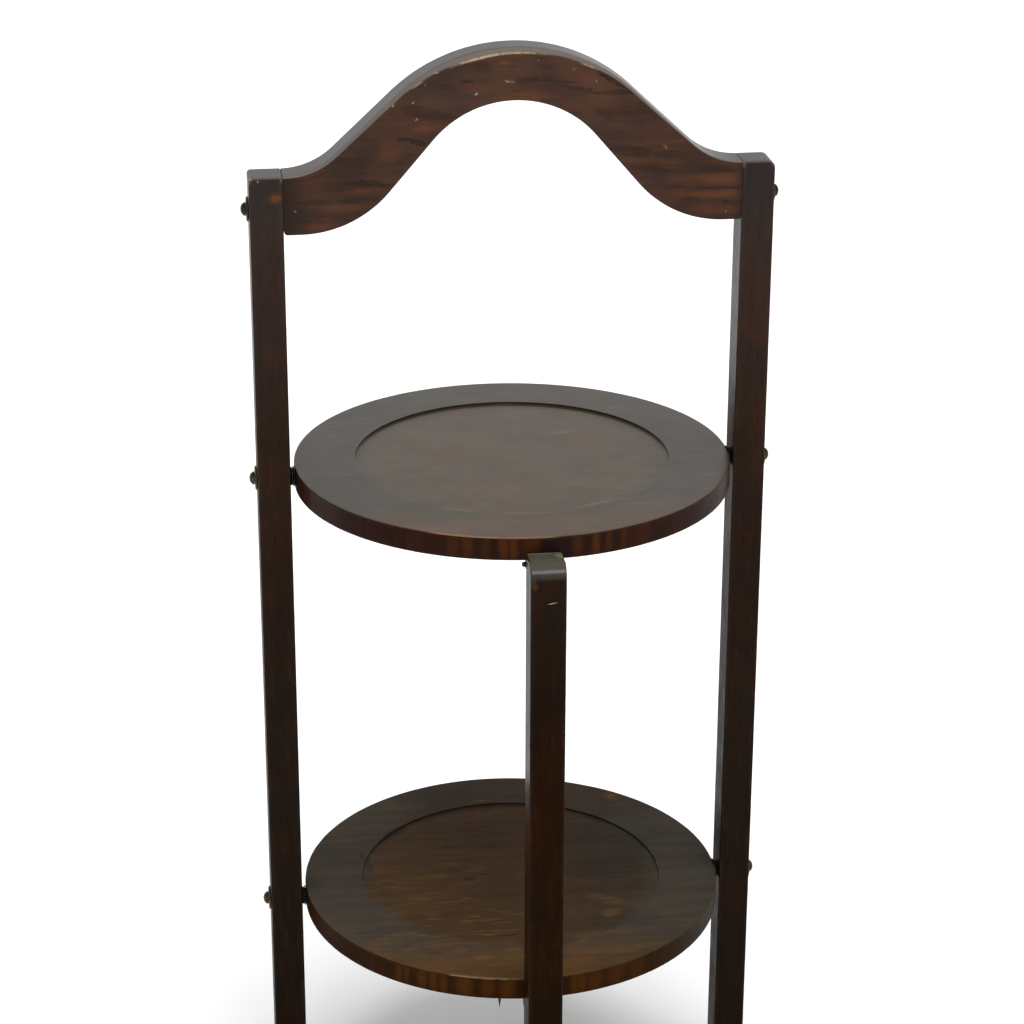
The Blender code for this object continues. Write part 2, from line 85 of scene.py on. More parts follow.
# Fineness of the meshes
ARC_STEPS = 6
LIP_STEPS = 4
END_STEPS = 6
EDGE_BAND = 0.0015
POST_PITCH = 0.003
RAIL_PITCH = 0.002
SLOPE_STEP = 0.0005
PLATE_HUB = 0.0015  # radius of the one face in the middle that closes a plate
PLATE_FACETS = 288
RING_MARGIN = 0.005  # from the rings of a plate's level faces to its edges
SUNK_RINGS, BORDER_RINGS, BACK_RINGS = 14, 5, 12
WOOD_SHARP_ANGLE = 38
METAL_SHARP_ANGLE = 32
METAL_WELD = 0.00002
METAL_EASE = 0.00012
METAL_EASE_ANGLE = 35

# Light
AMBIENT = 0.5
BACKDROP = [(0.0, 1.0), (0.40, 1.0), (0.50, 0.30), (0.75, 0.35), (1.0, 0.6)]  # reflected light over height
LAMP_LEVEL = 2.4
LAMP_SPREAD = 48  # degrees across
LAMP_TILT = (10, 5, 0)
SOFTBOX_HEIGHT = 40  # degrees above the horizon, in front
SOFTBOX_SPREAD = (3, 18)  # degrees from its middle to where it starts to fade, and to its end
SOFTBOX_LEVEL = 4.6
FLOOR_RADIUS = 14
FLOOR_DROP = 0.0002  # keeps it clear of the feet
FLOOR_TONE = 0.94
FLOOR_GLOW = 0.13  # keeps the floor's shadow as pale as the photograph's

# Camera
CAMERA_TURN = -7.997  # degrees, from straight in front
CAMERA_TILT = 22.0
CAMERA_ROLL = 0.161
CAMERA_DISTANCE = 1.66449
CAMERA_AIM = (0.00019, -0.03527)  # right of the upper plate's middle, and up from its top
CAMERA_LENS = 101.06  # mm, as is the sensor
CAMERA_SENSOR = 36


# Shapes


def wander(seed, place, reach):
    """Smooth noise from about -1 to 1 along a line."""
    return noise.noise(Vector((place / reach, seed * 5.71, seed * 2.33)))


def worn_ease(seed, place):
    """The radius of an arris, which handling has rounded unevenly."""
    waves = [share * wander(seed + 9 * row, place, reach) for row, (share, reach) in enumerate(WEAR_WAVES)]
    return ARRIS * (1.1 + sum(waves))


def end_inset(distance, radius):
    """How far a face lies in from its plane, at a distance from an end that is rounded over to it."""
    if distance >= radius:
        return 0.0
    return radius - math.sqrt(max(0.0, radius**2 - (radius - distance) ** 2))


def stations(low, high, fine_low, fine_high, pitch):
    """Places along a piece, close together where its ends round over."""
    turns = np.linspace(0, math.pi / 2, END_STEPS + 1)
    first = [low + fine_low * (1 - math.cos(t)) for t in turns]
    last = [high - fine_high * (1 - math.cos(t)) for t in turns[::-1]]
    start, end = first[-1] + EDGE_BAND, last[0] - EDGE_BAND
    middle = np.linspace(start, end, max(2, round((end - start) / pitch)))
    return first + list(middle) + last


ARC_WEAR = [0.6, *[1.0] * (ARC_STEPS - 1), 0.6]
GRIP_WEAR = [0.0, 0.0, 0.0, 0.2, 0.9, 0.9, 0.2]  # the rail's upper front edge is bare only at its front


def section(u_low, u_high, v_low, v_high, eases, low_stretch=1.0, high_stretch=1.0, wears=(ARC_WEAR,) * 4):
    """A rounded rectangle as (u, v, wear), anticlockwise from the corner where both are high."""
    corners = ((u_high, v_high), (u_low, v_high), (u_low, v_low), (u_high, v_low))
    points = []
    for index, (u, v) in enumerate(corners):
        stretch = high_stretch if index < 2 else low_stretch
        ease_u, ease_v = eases[index], eases[index] * stretch
        centre_u = u + (ease_u if index in (1, 2) else -ease_u)
        centre_v = v + (ease_v if index in (2, 3) else -ease_v)
        turns = [math.pi / 2 * (index + step / ARC_STEPS) for step in range(ARC_STEPS + 1)]
        arc = [(centre_u + ease_u * math.cos(t), centre_v + ease_v * math.sin(t)) for t in turns]
        before = (arc[0][0] + EDGE_BAND * math.sin(turns[0]), arc[0][1] - EDGE_BAND * math.cos(turns[0]))
        after = (arc[-1][0] - EDGE_BAND * math.sin(turns[-1]), arc[-1][1] + EDGE_BAND * math.cos(turns[-1]))
        points.append((*before, 0.0))
        points += [(a, b, wear) for (a, b), wear in zip(arc, wears[index])]
        points.append((*after, 0.0))
    return points


def skinned(node, rings):
    """A piece from rings of (x, y, z, wear), each joined to the next, with closed ends."""
    name = f"oak_{node}"
    bm = bmesh.new()
    layer = bm.verts.layers.float.new("wear")
    rows = []
    for ring in rings:
        row = []
        for x, y, z, wear in ring:
            vert = bm.verts.new((x, y, z))
            vert[layer] = wear
            row.append(vert)
        rows.append(row)
    count = len(rows[0])
    for first, second in zip(rows, rows[1:]):
        for k in range(count):
            bm.faces.new((first[k], first[(k + 1) % count], second[(k + 1) % count], second[k]))
    bm.faces.new(rows[0][::-1])
    bm.faces.new(rows[-1])
    bmesh.ops.recalc_face_normals(bm, faces=bm.faces)
    mesh = bpy.data.meshes.new(name)
    bm.to_mesh(mesh)
    bm.free()
    mesh.shade_smooth()
    mesh.set_sharp_from_angle(angle=math.radians(WOOD_SHARP_ANGLE))
    obj = bpy.data.objects.new(name, mesh)
    bpy.context.scene.collection.objects.link(obj)
    even = obj.modifiers.new("even_normals", "WEIGHTED_NORMAL")
    even.keep_sharp = True
    return obj


def post(node, seed, rounds):
    """A square post in its node's box. rounds gives the sides of its top that are rounder than an arris."""
    low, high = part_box(node)
    sides = ("left", "right", "front", "back")
    tops = {side: rounds.get(side, ARRIS) for side in sides}
    rings = []
    places = stations(low.z, high.z, ARRIS, max(tops.values()), POST_PITCH)
    for number, z in enumerate([places[0], *places, places[-1]]):
        foot, head = z - low.z, high.z - z
        cap = number in (0, len(places) + 1)
        band = EDGE_BAND if cap else 0.0
        inset = {side: end_inset(foot, ARRIS) + end_inset(head, tops[side]) + band for side in sides}
        ring = section(
            low.x + inset["left"],
            high.x - inset["right"],
            low.y + inset["front"],
            high.y - inset["back"],
            [worn_ease(seed + corner, z) for corner in range(4)],
        )
        worn = 1 - min(foot, head) / END_WEAR_REACH
        rings.append([(x, y, z, 0.0 if cap else max(wear, worn)) for x, y, wear in ring])
    return skinned(node, rings)


def double_curve(run, top, bottom, crown_share, slope_share):
    """The height of an ogee over x: a crown arc, a straight slope and a shoulder arc, level at both ends."""
    drop = top - bottom
    slope = slope_share * 2 * math.atan2(drop, run)
    radii = (run * math.sin(slope) - drop * math.cos(slope)) / (1 - math.cos(slope))
    crown = crown_share * radii
    shoulder = radii - crown

    def height(x):
        x = abs(x)
        if x >= run:
            return bottom
        if x <= crown * math.sin(slope):
            return top - crown + math.sqrt(crown**2 - x**2)
        if x >= run - shoulder * math.sin(slope):
            return bottom + shoulder - math.sqrt(shoulder**2 - (run - x) ** 2)
        return top - crown * (1 - math.cos(slope)) - (x - crown * math.sin(slope)) * math.tan(slope)

    return height


def steepness(height, x):
    """How much longer a curve is than its run at x."""
    rise = (height(x + SLOPE_STEP) - height(x - SLOPE_STEP)) / (2 * SLOPE_STEP)
    return math.sqrt(1 + rise**2)


def rail_eases(x):
    """The radii of the handle's four arrises at x, the upper front one worn round by hands."""
    eases = [worn_ease(RAIL_SEED + corner, x) for corner in range(4)]
    grip = max(0.0, 1 - abs(x - GRIP_MIDDLE) / GRIP_REACH) ** GRIP_FALL
    share, reach = GRIP_WAVE
    eases[1] += (GRIP_ROUND - ARRIS) * grip * (1 + share * wander(GRIP_SEED, x, reach))
    return eases


def handle_rail():
    low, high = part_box("handle_rail")
    end = high.x + RAIL_JOINT_FILL
    upper = double_curve(end, high.z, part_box("left_upright")[1].z, *RAIL_UPPER)
    lower = double_curve(end - RAIL_TOE_FLAT, high.z - RAIL_CROWN_HEIGHT, low.z, *RAIL_LOWER)
    rings = []
    places = stations(-end, end, RAIL_TOE_ROUNDS["left"], RAIL_TOE_ROUNDS["right"], RAIL_PITCH)
    for number, x in enumerate([places[0], *places, places[-1]]):
        to_end = end - abs(x)
        sides = end_inset(to_end, RAIL_END_EASE)
        under = end_inset(to_end, RAIL_TOE_ROUNDS["left" if x < 0 else "right"])
        cap = number in (0, len(places) + 1)
        band = EDGE_BAND if cap else 0.0
        ring = section(
            low.y + sides + band,
            high.y - sides - band,
            lower(x) + under + band,
            upper(x) - sides - band,
            rail_eases(x),
            steepness(lower, x),
            steepness(upper, x),
            (ARC_WEAR, GRIP_WEAR, ARC_WEAR, ARC_WEAR),
        )
        rings.append([(x, y, z, 0.0 if cap else wear) for y, z, wear in ring])
    return skinned("handle_rail", rings)


def quarter(steps):
    """The sine and cosine of even turns from nought to a right angle."""
    turns = np.linspace(0, math.pi / 2, steps + 1)
    return [(math.sin(turn), math.cos(turn)) for turn in turns]


def plate_profile(radius, top, bottom):
    """(radius, height, wear) from the middle of the sunk centre out over the rim and back underneath."""
    floor, ease, lip_ease = top - RECESS_DEPTH, PLATE_EDGE_ROUND, RECESS_LIP_EASE
    cove, lip, edge = RECESS_RADIUS - RECESS_COVE, RECESS_RADIUS + RECESS_LIP_EASE, radius - ease
    arc = [(sin, cos, wear) for (sin, cos), wear in zip(quarter(ARC_STEPS), ARC_WEAR)]

    points = [(r, floor, 0.0) for r in np.linspace(PLATE_HUB, RECESS_RADIUS - RING_MARGIN, SUNK_RINGS)]
    points.append((cove - EDGE_BAND, floor, 0.0))
    points += [(cove + RECESS_COVE * sin, floor + RECESS_COVE * (1 - cos), 0.0) for sin, cos, _ in arc]
    points += [(lip - lip_ease * cos, top - lip_ease * (1 - sin), 0.8) for sin, cos in quarter(LIP_STEPS)]
    points.append((lip + EDGE_BAND, top, 0.0))
    border = np.linspace(RECESS_RADIUS + RING_MARGIN, edge - RING_MARGIN, BORDER_RINGS)
    points += [(r, top, 0.0) for r in border]
    points.append((edge - EDGE_BAND, top, 0.0))
    points += [(edge + ease * sin, top - ease * (1 - cos), wear) for sin, cos, wear in arc]
    points.append((radius, top - ease - EDGE_BAND, 0.0))
    points.append((radius, (top + bottom) / 2, 0.0))
    points.append((radius, bottom + ease + EDGE_BAND, 0.0))
    points += [(edge + ease * cos, bottom + ease * (1 - sin), wear) for sin, cos, wear in arc]
    points.append((edge - EDGE_BAND, bottom, 0.0))
    points += [(r, bottom, 0.0) for r in np.linspace(edge - RING_MARGIN, PLATE_HUB, BACK_RINGS)]
    return points


def rim_wear(seed, turn, z):
    """How far a plate's worn edges lie in at an angle."""
    place = Vector((3 * seed + RIM_WAVES * math.cos(turn), RIM_WAVES * math.sin(turn), 60 * z))
    return RIM_UNEVENNESS * max(0.0, noise.noise(place))


def plate(node, seed):
    """A turned plate in its node's box, its edges very slightly uneven where they are worn."""
    low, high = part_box(node)
    radius, middle = (high.x - low.x) / 2, (low + high) / 2
    rings = []
    for r, z, wear in plate_profile(radius, high.z, low.z):
        into_wood = -1 if r > (RECESS_RADIUS + radius) / 2 else 1
        ring = []
        for step in range(PLATE_FACETS):
            turn = math.tau * step / PLATE_FACETS
            reach = r + (into_wood * rim_wear(seed, turn, z) if wear > 0 else 0.0)
            ring.append((middle.x + reach * math.cos(turn), middle.y + reach * math.sin(turn), z, wear))
        rings.append(ring)
    return skinned(node, rings)


# Node trees


class Graph:
    """A node tree while it is put together: short ways to add nodes and join them."""

    def __init__(self, tree):
        self.nodes, self.links = tree.nodes, tree.links

    def feed(self, socket, value):
        if isinstance(value, bpy.types.NodeSocket):
            self.links.new(value, socket)
        else:
            socket.default_value = value

    def add(self, kind, **settings):
        node = self.nodes.new(kind)
        for key, value in settings.items():
            setattr(node, key, value)
        return node

    def split(self, source):
        """The X, Y and Z of a vector."""
        node = self.add("ShaderNodeSeparateXYZ")
        self.feed(node.inputs[0], source)
        return node.outputs

    def maths(self, operation, *values):
        node = self.add("ShaderNodeMath", operation=operation)
        for socket, value in zip(node.inputs, values):
            self.feed(socket, value)
        return node.outputs[0]

    def product(self, first, *others):
        for other in others:
            first = self.maths("MULTIPLY", first, other)
        return first

    def larger(self, first, second):
        return self.maths("MAXIMUM", first, second)

    def vector(self, operation, first, second, third=None, output=0):
        node = self.add("ShaderNodeVectorMath", operation=operation)
        self.feed(node.inputs[0], first)
        self.feed(node.inputs[3 if operation == "SCALE" else 1], second)
        if third is not None:
            self.feed(node.inputs[2], third)
        return node.outputs[output]

    def between(self, value, low, high, to_low=0.0, to_high=1.0):
        """Goes smoothly from to_low to to_high while the value goes from low to high."""
        node = self.add("ShaderNodeMapRange", interpolation_type="SMOOTHSTEP")
        self.feed(node.inputs["Value"], value)
        for socket, number in zip(("From Min", "From Max", "To Min", "To Max"), (low, high, to_low, to_high)):
            node.inputs[socket].default_value = number
        return node.outputs["Result"]

    def blend(self, share, first, second):
        node = self.add("ShaderNodeMix", data_type="RGBA")
        self.feed(node.inputs[0], share)
        self.feed(node.inputs[6], (*first, 1.0) if isinstance(first, tuple) else first)
        self.feed(node.inputs[7], (*second, 1.0) if isinstance(second, tuple) else second)
        return node.outputs[2]

    def ramp(self, value, stops):
        node = self.add("ShaderNodeValToRGB")
        self.feed(node.inputs["Fac"], value)
        while len(node.color_ramp.elements) < len(stops):
            node.color_ramp.elements.new(0.5)
        for element, (at, colour) in zip(node.color_ramp.elements, stops):
            element.position = at
            element.color = (*colour, 1.0)
        return node.outputs["Color"]


class Paint(Graph):
    """A material while it is put together."""

    def __init__(self, name):
        self.made = bpy.data.materials.new(name)
        self.made.use_nodes = True
        super().__init__(self.made.node_tree)
        self.shader = self.nodes["Principled BSDF"]
        source = self.add("ShaderNodeTexCoord")
        self.place = source.outputs["Object"]
        normal = self.split(source.outputs["Normal"])
        self.rise = normal["Z"]
        self.turn = self.maths("ABSOLUTE", normal["X"])
        self.ahead = self.maths("MULTIPLY", normal["Y"], -1.0)

    def axis(self, name):
        return self.split(self.place)[name]

    def attribute(self, name):
        return self.add("ShaderNodeAttribute", attribute_name=name).outputs["Fac"]

    def noise(self, scale, shift, detail, rough=0.5, distortion=0.0, output="Fac"):
        """Noise whose features are about 1 / scale metres, in every direction or along each axis."""
        scale = scale if isinstance(scale, tuple) else (scale,) * 3
        node = self.add("ShaderNodeTexNoise")
        self.feed(node.inputs["Vector"], self.vector("MULTIPLY_ADD", self.place, scale, shift))
        node.inputs["Scale"].default_value = 1.0
        node.inputs["Detail"].default_value = detail
        node.inputs["Roughness"].default_value = rough
        node.inputs["Distortion"].default_value = distortion
        return node.outputs[output]

    def ragged(self, amount, scale=260.0):
        """The place, moved about by noise, for marks with uneven edges."""
        shake = self.noise(scale, (4, 8, 1), 2.0, output="Color")
        moved = self.vector("MULTIPLY_ADD", shake, amount, tuple(-part / 2 for part in amount))
        return self.vector("ADD", self.place, moved)

    def relief(self, height, strength, depth):
        bump = self.add("ShaderNodeBump")
        bump.inputs["Strength"].default_value = strength
        bump.inputs["Distance"].default_value = depth
        self.feed(bump.inputs["Height"], height)
        self.feed(self.shader.inputs["Normal"], bump.outputs["Normal"])

    def strokes(self, rows, place, origin, level=False, depth=4, core=0.45):
        """Soft strokes on an upright face or on a level one: 1 inside them and 0 outside.

        A row is the middle right of the origin and up or back from it, half the length and height, all in
        millimetres like the depth that they reach into the wood, then the tilt in degrees and the share.
        """
        total = None
        for across, other, length, height, tilt, share in rows:
            turn = math.radians(tilt)
            offset, spin, size = (across, 0, other), (0, -turn, 0), (length, depth, height)
            if level:
                offset, spin, size = (across, other, 0), (0, 0, turn), (length, height, depth)
            near = self.add("ShaderNodeMapping", vector_type="TEXTURE")
            self.feed(near.inputs["Vector"], place)
            near.inputs["Location"].default_value = Vector(origin) + MM * Vector(offset)
            near.inputs["Rotation"].default_value = spin
            near.inputs["Scale"].default_value = MM * Vector(size)
            ball = self.add("ShaderNodeTexGradient", gradient_type="SPHERICAL")
            self.feed(ball.inputs["Vector"], near.outputs[0])
            stroke = self.between(ball.outputs["Fac"], 0.0, core, 0.0, share)
            total = stroke if total is None else self.larger(total, stroke)
        return total

    def drawn(self, colour, ink, rows, place, origin, **how):
        """A colour with strokes of another one on it."""
        return self.blend(self.strokes(rows, place, origin, **how), colour, ink)


# Oak and metal


# Features per metre, along and across the grain or in every direction
FIGURE = (9, 130)
STREAKS = (30, 480)
PORES = (110, 1500)
RAYS = (60, 420)
RAY_CROWDS = (16, 45)
BAND_GRAIN = (38, 620)  # of the handle's bands and streaks
GOLD_GRAIN = (70, 520)  # of the lower plate's golden flecks
CLOUDS = 38
SHEEN = 55
RUBBING = 140


def along(grain, scales):
    """Noise scales for a grain that runs along X or Z."""
    lengthwise, crosswise = scales
    return (lengthwise, crosswise, crosswise) if grain == "X" else (crosswise, crosswise, lengthwise)


def shifted(seed, extra=0):
    """Where a piece's noise starts, so that no two pieces are alike."""
    return (seed * 3.1 + extra, seed * 1.7 + extra, seed * 2.3 + extra)


def oak_rays(paint, seed, grain, colour, fleck):
    """Short ray flecks over a colour, in crowds."""
    fleck_colour, share, limit = fleck
    rays = paint.noise(along(grain, RAYS), shifted(seed, 5), 1.0)
    crowd = paint.noise(along(grain, RAY_CROWDS), shifted(seed, 9), 1.0)
    ray = paint.between(paint.maths("ADD", rays, paint.product(crowd, 0.4)), 0.79, 0.93)
    if limit:
        ray = paint.product(ray, limit(paint))
    return paint.blend(paint.product(ray, share), colour, fleck_colour)


def oak_coat(paint, wear, sheen, polish):
    """A thin coat of wax that hands have polished."""
    level, handled, (share, start, end), rough = polish
    waxed = paint.ramp(paint.rise, [(rise, (strength,) * 3) for rise, strength in level])
    waxed = paint.product(waxed, paint.between(sheen, 0.3, 0.7, 0.9, 1.1))
    climb = paint.between(paint.axis("Z"), start, end, 0.0, share)
    sides = paint.product(paint.between(paint.turn, 0.8, 0.95), climb)
    coat = paint.larger(paint.product(wear, handled), sides)
    paint.feed(paint.shader.inputs["Coat Weight"], paint.larger(waxed, coat))
    paint.shader.inputs["Coat Roughness"].default_value = rough
    paint.shader.inputs["Coat IOR"].default_value = 1.5


def oak(name, seed, grain, stain, marks, contrast, fleck, worn, rough, ior, polish):
    """Stained oak: soft figure, fine streaks, open pores, short ray flecks and worn arrises.

    stain makes the base colour, with painted shade and sheen in some pieces, and marks changes it, with
    painted light among some pieces' marks. contrast is how dark and light the figure gets.
    fleck is (colour, share, what limits it), and worn is (colour, share). polish is the coat: its share over
    how far the surface faces up, its share on arrises, its (share, from, to) up the height of side faces, and
    its roughness.
    """
    paint = Paint(name)
    figure = paint.noise(along(grain, FIGURE), shifted(seed), 3.0, 0.5, 0.5)
    streak = paint.noise(along(grain, STREAKS), shifted(seed), 2.0)
    cloud = paint.noise(CLOUDS, shifted(seed), 2.0)
    tone = paint.maths("ADD", paint.product(figure, 0.5), paint.product(streak, 0.2))
    tone = paint.maths("ADD", tone, paint.product(cloud, 0.3))
    colour = paint.vector("SCALE", stain(paint, cloud), paint.between(tone, 0.36, 0.64, *contrast))

    pores = paint.noise(along(grain, PORES), shifted(seed), 1.0)
    pore = paint.between(pores, 0.60, 0.72)
    colour = paint.vector("SCALE", colour, paint.between(pores, 0.60, 0.72, 1.0, 0.75))
    colour = marks(paint, oak_rays(paint, seed, grain, colour, fleck))

    rubbed = paint.noise(RUBBING, shifted(seed, 2), 3.0, 0.6)
    wear = paint.attribute("wear")
    bare = paint.product(wear, paint.between(rubbed, 0.52, 0.72), worn[1])
    paint.feed(paint.shader.inputs["Base Color"], paint.blend(bare, colour, worn[0]))

    sheen = paint.noise(SHEEN, shifted(seed, 1), 3.0)
    dull = paint.maths("ADD", sheen, paint.product(pore, 0.25))
    paint.feed(paint.shader.inputs["Roughness"], paint.between(dull, 0.3, 0.9, *rough))
    paint.shader.inputs["IOR"].default_value = ior
    oak_coat(paint, wear, sheen, polish)
    paint.relief(paint.maths("SUBTRACT", paint.product(streak, 0.5), paint.product(pore, 0.6)), 0.3, 0.00012)
    return paint.made


def metal(name, dark, light, glint, rough):
    """Old fastener metal: blotchy tarnish with brighter rubbed places, duller on the handle's screws."""
    paint = Paint(name)
    blotch = paint.noise(900, (3, 1, 2), 3.0, 0.6)
    fine = paint.noise(4200, (1, 5, 2), 2.0)
    colour = paint.ramp(paint.between(blotch, 0.35, 0.65), [(0.0, dark), (1.0, light)])
    rubbed = paint.between(paint.noise(1300, (7, 7, 1), 2.0), 0.60, 0.72)
    colour = paint.blend(paint.product(rubbed, 0.6), colour, glint)
    high = paint.between(paint.axis("Z"), 0.48, 0.55, 0.0, 0.8)
    colour = paint.blend(high, colour, tuple(1.6 * part for part in dark))
    paint.feed(paint.shader.inputs["Base Color"], colour)
    paint.feed(paint.shader.inputs["Roughness"], paint.between(blotch, 0.3, 0.7, *rough))
    paint.shader.inputs["Metallic"].default_value = 1.0
    paint.relief(fine, 0.4, 0.00005)
    return paint.made


# Colours and marks of the handle

DARK = (0.023, 0.014, 0.011)
ORANGE = (0.150, 0.052, 0.019)
GOLD = (0.26, 0.115, 0.030)
PALE = (0.40, 0.32, 0.26)

# Strokes on the handle, from the front of its crest
RAIL_DARK = [
    (-81, -72.5, 17, 2.2, -6, 0.7), (-85.5, -81.5, 16, 2.2, 3, 0.6), (-109.5, -82, 10, 2.3, 2, 0.45),
    (-61, -48.5, 6, 1.5, -6, 0.7), (-53.5, -50.5, 7, 1.9, -9, 0.8), (-48.5, -34.5, 21, 4.5, -12, 0.5),
    (-23, -9.5, 14, 4.5, -5, 0.45), (-37, -20.5, 7, 2.3, -8, 0.45), (-25.5, -17.5, 4, 0.8, 1, 0.7),
    (-112.5, -92, 12, 1.2, 7, 0.5), (-110, -68, 12, 1.2, 17, 0.4), (-31.5, -7.5, 13, 1.1, 8, 0.5),
    (6, -18, 9, 1.9, 4, 0.65), (17, -18, 6, 1.5, 3, 0.5), (26.5, -19.5, 9, 1, -3, 0.6),
    (36, -24, 16, 1.5, -11, 0.75), (57, -26, 14, 1.9, 0, 0.65), (53, -18.5, 19, 2, -31, 0.85),
    (60.5, -40, 18, 4.5, -14, 0.3), (64, -59, 14, 4, -11, 0.55), (66, -59.5, 4.5, 1.6, 3, 0.6),
    (87.5, -62, 13, 2.8, -2, 0.4), (70, -68.5, 8, 1.8, -4, 0.5), (78.5, -70.5, 20, 2, -6, 0.5),
    (113.5, -71, 15, 2.6, -3, 0.6), (88, -80.5, 8, 1.8, 0, 0.55), (113.5, -82, 19, 1.4, -1, 0.65),
    (99, -87.5, 8, 1.6, -1, 0.5), (122, -90.5, 7, 1.6, -2, 0.6), (50.5, -56, 7, 3, -28, 0.4),
]
RAIL_ORANGE = [
    (-85, -76.5, 12, 2.3, 1, 0.5), (-94.5, -86, 20, 3.5, 1, 0.4), (-110, -96, 14, 2.8, 1, 0.4),
    (-69.5, -57, 12, 7, 11, 0.35), (-49.5, -42.5, 10, 5, 7, 0.5), (-20.5, -22, 16, 5, -4, 0.4),
    (8, -26.5, 22, 4, -2, 0.6), (33.5, -34, 15, 4.5, -13, 0.45), (40.5, -17.5, 13, 4, -21, 0.3),
    (77.5, -65.5, 27, 2, -4, 0.4), (112, -76.5, 26, 5, -1, 0.62), (90.5, -76, 10, 2.4, -6, 0.3),
    (110, -85.5, 31, 4, -2, 0.48), (112.5, -94, 24, 5, -2, 0.42), (-6, -8, 7, 2.4, 3, 0.6),
]
RAIL_SPECKS = [
    (-21.5, -24.5, 0.8, 1.3, 0, 0.8), (-55, -37.5, 1.1, 1.5, 0, 0.55), (-56.5, -28.5, 0.8, 1.1, 0, 0.45),
    (-68, -30, 1, 1.1, 20, 0.6), (-49.5, -19, 0.9, 1, 0, 0.5), (-43, -12.5, 1.4, 0.8, 0, 0.6),
    (-4.5, -18, 2.8, 0.8, -13, 0.6), (-121.5, -87, 2, 0.8, -25, 0.4), (118, -95.5, 0.6, 0.9, 0, 0.6),
    (45, -19.5, 0.8, 1, 0, 0.45),
]
RAIL_GILT = [
    (84, -57.5, 2.6, 1, -54, 0.55), (12.5, -7, 1.5, 0.6, 0, 0.6), (32.5, -12.5, 2.2, 0.6, 0, 0.4),
    (123.5, -66.5, 5, 0.8, -4, 0.9),
]
RAIL_EDGE = [
    (-9, -4.5, 33, 15, 0, 1.0), (40.5, -11.5, 6, 10, 0, 0.9), (-53.5, -18.5, 5, 6, 30, 0.5),
]


def rail_stain(paint, cloud):
    """Lighter in the middle, under the hand."""
    stain = paint.blend(paint.between(cloud, 0.35, 0.65), (0.050, 0.0275, 0.0205), (0.067, 0.032, 0.020))
    from_middle = paint.maths("ABSOLUTE", paint.axis("X"))
    return paint.vector("SCALE", stain, paint.between(from_middle, 0.080, 0.040, 0.90, 1.15))


def rail_toes(paint):
    """Dark ends beside the uprights, on the front."""
    left = paint.between(paint.axis("X"), -0.112, -0.128, 0.0, 0.85)
    right = paint.between(paint.axis("X"), 0.1225, 0.128, 0.0, 0.6)
    return paint.product(paint.larger(left, right), paint.between(paint.ahead, 0.6, 0.9))


def rail_painted_sheen(paint, colour):
    """Painted sheen: grey on the rounding that hands have worn, lighter where it faces the front."""
    rounded = paint.product(paint.between(paint.ahead, 0.02, 0.22), paint.between(paint.ahead, 0.95, 0.86))
    rounded = paint.product(rounded, paint.between(paint.rise, 0.05, 0.30), 0.85)
    # Painted sheen, lighter where the rounding faces the front.
    painted_sheen_grey = paint.blend(paint.between(paint.ahead, 0.25, 0.50), (0.120, 0.104, 0.092), (0.160, 0.140, 0.123))
    return paint.blend(rounded, colour, painted_sheen_grey)


def rail_bare_edge(paint, colour, place, crest):
    """A thin broken line of bare wood below the rounding, yellower to the right."""
    line = paint.product(paint.between(paint.ahead, 0.85, 0.92), paint.between(paint.ahead, 0.99, 0.96))
    line = paint.product(line, paint.between(paint.rise, 0.0, 0.1))
    broken = paint.between(paint.noise(420, (2, 2, 2), 2.0), 0.34, 0.50, 0.35, 1.0)
    edge = paint.product(paint.strokes(RAIL_EDGE, place, crest, depth=8, core=0.6), line, broken)
    bare = paint.blend(paint.between(paint.axis("X"), -0.015, 0.010), (0.44, 0.31, 0.21), (0.34, 0.25, 0.13))
    return paint.blend(edge, colour, bare)


def rail_marks(paint, colour):
    """The handle's dark streaks and orange bands, a painted grey sheen on its top and on its worn rounding,
    its specks, and its worn upper front edge.
    """
    low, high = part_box("handle_rail")
    crest = (0, low.y, high.z)
    place = paint.ragged((0.009, 0.001, 0.0028))
    grain = paint.between(paint.noise(along("X", BAND_GRAIN), (3, 6, 9), 2.0, 0.6), 0.34, 0.56, 0.55, 1.0)
    orange = paint.product(paint.strokes(RAIL_ORANGE, place, crest, core=0.95), grain)
    dark = paint.product(paint.strokes(RAIL_DARK, place, crest), grain)
    colour = paint.blend(orange, colour, ORANGE)
    colour = paint.blend(dark, colour, DARK)
    # Painted sheen: grey on the faces that look up.
    colour = paint.blend(paint.between(paint.rise, 0.35, 0.65), colour, (0.042, 0.034, 0.028))
    colour = paint.blend(rail_toes(paint), colour, DARK)
    colour = rail_painted_sheen(paint, colour)
    colour = paint.drawn(colour, PALE, RAIL_SPECKS, place, crest, core=0.8)
    colour = paint.drawn(colour, GOLD, RAIL_GILT, place, crest, core=0.7)
    return rail_bare_edge(paint, colour, place, crest)


# Colours and marks of the uprights and the leg


def by_height(paint, cloud, stops, red):
    """A colour that changes with the height in metres, redder in places: darker lower down, partly stain and
    partly painted shade.
    """
    top = stops[-1][0]
    share = paint.maths("DIVIDE", paint.axis("Z"), top)
    # Darker lower down: partly stain, partly painted shade where light falls off towards the floor.
    stain = paint.ramp(share, [(at / top, colour) for at, colour in stops])
    return paint.blend(paint.between(cloud, 0.4, 0.65), stain, paint.vector("MULTIPLY", stain, red))


